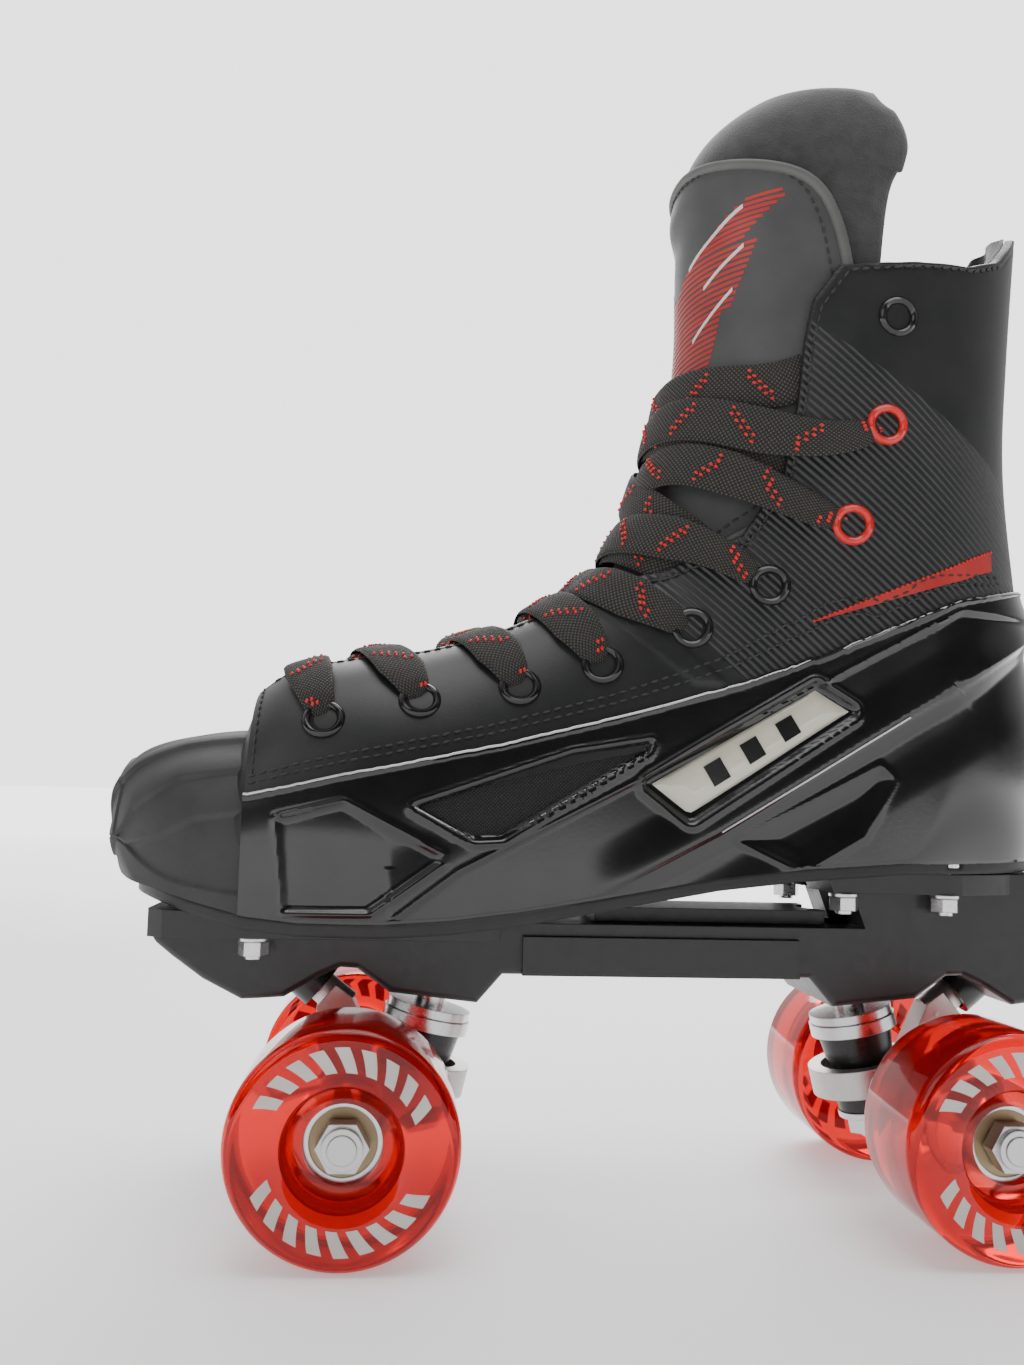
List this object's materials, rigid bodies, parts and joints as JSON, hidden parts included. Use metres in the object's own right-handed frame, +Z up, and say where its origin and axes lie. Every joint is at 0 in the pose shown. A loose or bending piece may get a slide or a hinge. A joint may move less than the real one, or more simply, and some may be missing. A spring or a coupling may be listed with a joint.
{
  "type": "quad roller skate",
  "caption": "Left quad roller skate: laced hockey-style boot on a black chassis with cushioned steering trucks and translucent red wheels.",
  "frame": {"origin": "centre of the skate's footprint box, on the floor", "axes": "+Z up, -X towards the toe, -Y towards the outer side of the foot"},
  "size_m": [0.307, 0.142, 0.3755],
  "materials": {
    "toe_cap": "matt grained",
    "shell": "glossy",
    "mesh": "woven",
    "badge": "glossy dome",
    "leather": "smooth",
    "eyelet": "gloss black",
    "lining": "velvet",
    "sole": "matt",
    "footbed": "woven",
    "felt": "felt",
    "lace": "woven",
    "chassis": "satin black",
    "steel": "bright zinc",
    "cushion": "moulded",
    "hanger": "cast and brushed",
    "tyre": "translucent urethane",
    "hub": "clear red",
    "shield": "satin"
  },
  "bodies": {
    "boot_and_chassis": {"chassis": "chassis", "eyelets": "eyelet", "footbed": "footbed", "kingpin_nuts": "steel", "kingpin_seats": "steel", "kingpins": "steel", "lace": "lace", "lining": "lining", "lower_cushion_front": "cushion", "lower_cushion_rear": "cushion", "lower_retainers": "steel", "mounting_bolts": "steel", "mounting_nuts": "steel", "outsole": "sole", "pivot_cups": "cushion", "side_badges": "badge", "side_shell": "shell", "toe_cap": "toe_cap", "tongue_felt": "felt", "tongue_panel": "leather", "upper": "leather", "upper_cushion_front": "cushion", "upper_cushion_rear": "cushion", "upper_retainers": "steel", "vent_mesh": "mesh"},
    "front_truck": {"axle_front": "steel", "axle_nuts_front": "steel", "axle_washers_front": "steel", "bearing_inner_races_front": "steel", "bearing_spacers_front": "steel", "hanger_front": "hanger"},
    "rear_truck": {"axle_nuts_rear": "steel", "axle_rear": "steel", "axle_washers_rear": "steel", "bearing_inner_races_rear": "steel", "bearing_spacers_rear": "steel", "hanger_rear": "hanger"},
    "wheel_front_outer": {"wheel_front_outer_balls": "steel", "wheel_front_outer_hub": "hub", "wheel_front_outer_outer_races": "steel", "wheel_front_outer_shields": "shield", "wheel_front_outer_tyre": "tyre"},
    "wheel_front_inner": {"wheel_front_inner_balls": "steel", "wheel_front_inner_hub": "hub", "wheel_front_inner_outer_races": "steel", "wheel_front_inner_shields": "shield", "wheel_front_inner_tyre": "tyre"},
    "wheel_rear_outer": {"wheel_rear_outer_balls": "steel", "wheel_rear_outer_hub": "hub", "wheel_rear_outer_outer_races": "steel", "wheel_rear_outer_shields": "shield", "wheel_rear_outer_tyre": "tyre"},
    "wheel_rear_inner": {"wheel_rear_inner_balls": "steel", "wheel_rear_inner_hub": "hub", "wheel_rear_inner_outer_races": "steel", "wheel_rear_inner_shields": "shield", "wheel_rear_inner_tyre": "tyre"}
  },
  "joints": [
    {"name": "front_steering", "type": "hinge", "parent": "boot_and_chassis", "child": "front_truck", "pos_m": [-0.0545, 0, 0.0398], "axis": [-0.7584, 0, 0.6518], "range_deg": [-8, 8], "stiffness_Nm_per_rad": 40, "deforming": ["upper_cushion_front", "lower_cushion_front"]},
    {"name": "rear_steering", "type": "hinge", "parent": "boot_and_chassis", "child": "rear_truck", "pos_m": [0.0965, 0, 0.0398], "axis": [0.7584, 0, 0.6518], "range_deg": [-8, 8], "stiffness_Nm_per_rad": 40, "deforming": ["upper_cushion_rear", "lower_cushion_rear"]},
    {"name": "wheel_front_outer_spin", "type": "hinge", "parent": "front_truck", "child": "wheel_front_outer", "pos_m": [-0.074, -0.052, 0.0325], "axis": [0, 1, 0], "continuous": true},
    {"name": "wheel_front_inner_spin", "type": "hinge", "parent": "front_truck", "child": "wheel_front_inner", "pos_m": [-0.074, 0.052, 0.0325], "axis": [0, 1, 0], "continuous": true},
    {"name": "wheel_rear_outer_spin", "type": "hinge", "parent": "rear_truck", "child": "wheel_rear_outer", "pos_m": [0.116, -0.052, 0.0325], "axis": [0, 1, 0], "continuous": true},
    {"name": "wheel_rear_inner_spin", "type": "hinge", "parent": "rear_truck", "child": "wheel_rear_inner", "pos_m": [0.116, 0.052, 0.0325], "axis": [0, 1, 0], "continuous": true}
  ]
}
